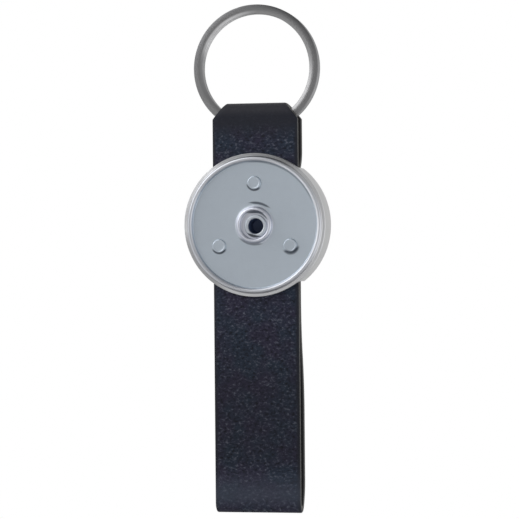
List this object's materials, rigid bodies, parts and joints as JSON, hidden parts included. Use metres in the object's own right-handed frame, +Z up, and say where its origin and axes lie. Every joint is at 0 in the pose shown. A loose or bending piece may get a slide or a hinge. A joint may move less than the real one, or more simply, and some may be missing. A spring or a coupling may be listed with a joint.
{
  "type": "loop keyring",
  "caption": "Loop keyring: folded faux leather strap on a split ring, with a riveted round metal medallion whose recessed face takes a disc insert.",
  "frame": {"origin": "inner top of the split ring, where a hook carries the keyring", "axes": "+Z up along the strap, -Y out of the medallion's recessed face, +X across the strap"},
  "size_m": [0.0285, 0.0073, 0.1011],
  "materials": {
    "ring_steel": "nickel-plated spring steel, satin",
    "faux_leather": "near-black navy faux leather with a fine grain",
    "medallion_plating": "satin chrome plate on die-cast zinc",
    "cover_plating": "satin chrome plate",
    "rivet_plating": "nickel-plated steel"
  },
  "bodies": {
    "ring": {"split_ring": "ring_steel"},
    "ring_fold": {"strap_ring_fold": "faux_leather", "strap_upper_flex": "faux_leather"},
    "medallion": {"strap_upper_end": "faux_leather", "strap_front_run": "faux_leather", "strap_lower_end": "faux_leather", "housing": "medallion_plating", "rear_cover": "cover_plating", "rivet": "rivet_plating"},
    "hand_loop": {"strap_lower_flex": "faux_leather", "strap_loop": "faux_leather"}
  },
  "joints": [
    {"name": "ring_turn", "type": "hinge", "parent": "ring", "child": "ring_fold", "pos_m": [0, 0, -0.0108], "axis": [0, 1, 0], "continuous": true},
    {"name": "upper_strap_bend", "type": "hinge", "parent": "ring_fold", "child": "medallion", "pos_m": [0, 0, -0.02561], "axis": [1, 0, 0], "range_deg": [-60, 60], "stiffness_Nm_per_rad": 0.02, "deforming": ["strap_upper_flex"]},
    {"name": "loop_bend", "type": "hinge", "parent": "medallion", "child": "hand_loop", "pos_m": [0, -0.00128, -0.05843], "axis": [1, 0, 0], "range_deg": [-60, 60], "stiffness_Nm_per_rad": 0.01, "deforming": ["strap_lower_flex"]}
  ]
}
